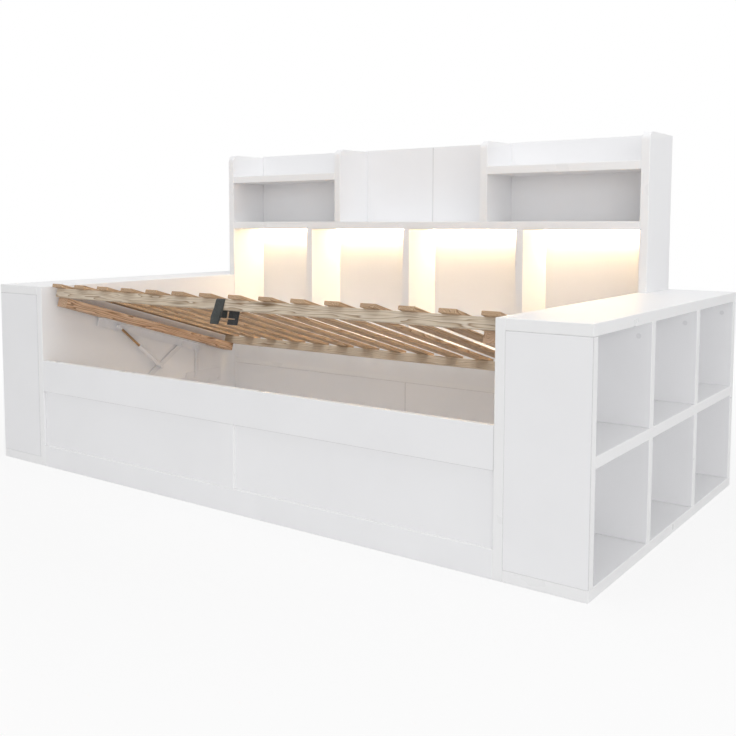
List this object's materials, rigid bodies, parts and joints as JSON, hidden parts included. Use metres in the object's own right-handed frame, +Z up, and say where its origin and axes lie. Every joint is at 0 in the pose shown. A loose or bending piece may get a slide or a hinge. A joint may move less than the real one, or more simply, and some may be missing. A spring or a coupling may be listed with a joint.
{
  "type": "storage daybed",
  "caption": "Storage daybed: slat base on strut-lifted four-bar gear over a panelled box, between open bookcases, with a lit cubby headboard.",
  "frame": {"origin": "on the floor, midway along the bed and midway from front to back", "axes": "+X along the bed to the right as seen from the open front, +Y from the front to the headboard, +Z up"},
  "size_m": [2.458, 1.3, 1.256],
  "materials": {
    "white_board": "satin white lacquered board",
    "light_pine": "planed pale pine",
    "dark_pine": "planed orange-brown pine",
    "black_webbing": "black woven webbing",
    "white_steel": "white coated steel strip",
    "white_cylinder": "white coated steel tube",
    "bronze_rod": "bronze-brown polished rod",
    "zinc_steel": "bright zinc",
    "cam_cover": "white plastic",
    "warm_led": "lit warm white strip"
  },
  "bodies": {
    "bed_case": {"base_plate_pins": "zinc_steel", "base_plate_screws": "zinc_steel", "bay_divider_left": "white_board", "bay_divider_middle": "white_board", "bay_divider_right": "white_board", "bed_side_left": "white_board", "bed_side_right": "white_board", "bookcase_left_base": "white_board", "bookcase_left_front": "white_board", "bookcase_left_lower_dividers": "white_board", "bookcase_left_middle_shelf": "white_board", "bookcase_left_rear": "white_board", "bookcase_left_top": "white_board", "bookcase_left_upper_dividers": "white_board", "bookcase_right_base": "white_board", "bookcase_right_front": "white_board", "bookcase_right_lower_dividers": "white_board", "bookcase_right_middle_shelf": "white_board", "bookcase_right_rear": "white_board", "bookcase_right_top": "white_board", "bookcase_right_upper_dividers": "white_board", "cam_covers": "cam_cover", "cubby_divider_left": "white_board", "cubby_divider_right": "white_board", "cubby_top_left": "white_board", "cubby_top_right": "white_board", "floor_battens": "dark_pine", "front_bottom_rail": "white_board", "front_field_panel_left": "white_board", "front_field_panel_right": "white_board", "front_stile": "white_board", "front_top_rail": "white_board", "headboard_back_left": "white_board", "headboard_back_right": "white_board", "headboard_bay_floor": "white_board", "headboard_shelf": "white_board", "headboard_side_left": "white_board", "headboard_side_right": "white_board", "led_strip": "warm_led", "lift_base_plates": "white_steel", "rest_blocks": "dark_pine", "storage_back_board_left": "white_board", "storage_back_board_right": "white_board", "storage_back_rail": "white_board", "storage_floor": "white_board"},
    "lift_base": {"slats": "light_pine", "base_front_rail": "light_pine", "base_back_rail": "light_pine", "base_cross_rail_left": "dark_pine", "base_cross_rail_right": "dark_pine", "pull_strap": "black_webbing", "strap_tail": "black_webbing", "lift_angle_bars": "white_steel", "angle_bar_pins": "zinc_steel", "angle_bar_screws": "zinc_steel"},
    "rear_levers": {"rear_levers": "white_steel"},
    "front_links": {"front_links": "white_steel", "front_link_pins": "zinc_steel"},
    "strut_cylinders": {"strut_cylinders": "white_cylinder"},
    "strut_rods": {"strut_rods": "bronze_rod"}
  },
  "joints": [
    {"name": "lever_swing", "type": "hinge", "parent": "bed_case", "child": "rear_levers", "pos_m": [0, -0.01752, 0.23135], "axis": [1, 0, 0], "range_deg": [-24.88, 0]},
    {"name": "base_turn", "type": "hinge", "parent": "rear_levers", "child": "lift_base", "pos_m": [0, 0.15512, 0.37609], "axis": [1, 0, 0], "range_deg": [0, 41.29]},
    {"name": "link_swing", "type": "hinge", "parent": "bed_case", "child": "front_links", "pos_m": [0, -0.19419, 0.24266], "axis": [1, 0, 0], "range_deg": [-22.51, 0]},
    {"name": "strut_turn", "type": "hinge", "parent": "front_links", "child": "strut_cylinders", "pos_m": [0, -0.07215, 0.31718], "axis": [1, 0, 0], "range_deg": [0, 56.27]},
    {"name": "strut_slide", "type": "slide", "parent": "strut_cylinders", "child": "strut_rods", "axis": [0, -0.7562, 0.6543], "range_m": [-0.07645, 0]}
  ],
  "couplings": [
    {"joint": "base_turn", "follows": "lever_swing", "ratio": -1.659},
    {"joint": "link_swing", "follows": "lever_swing", "ratio": 0.90435},
    {"joint": "strut_turn", "follows": "lever_swing", "ratio": -2.2607},
    {"joint": "strut_slide", "follows": "lever_swing", "m_per_rad": 0.17598}
  ]
}
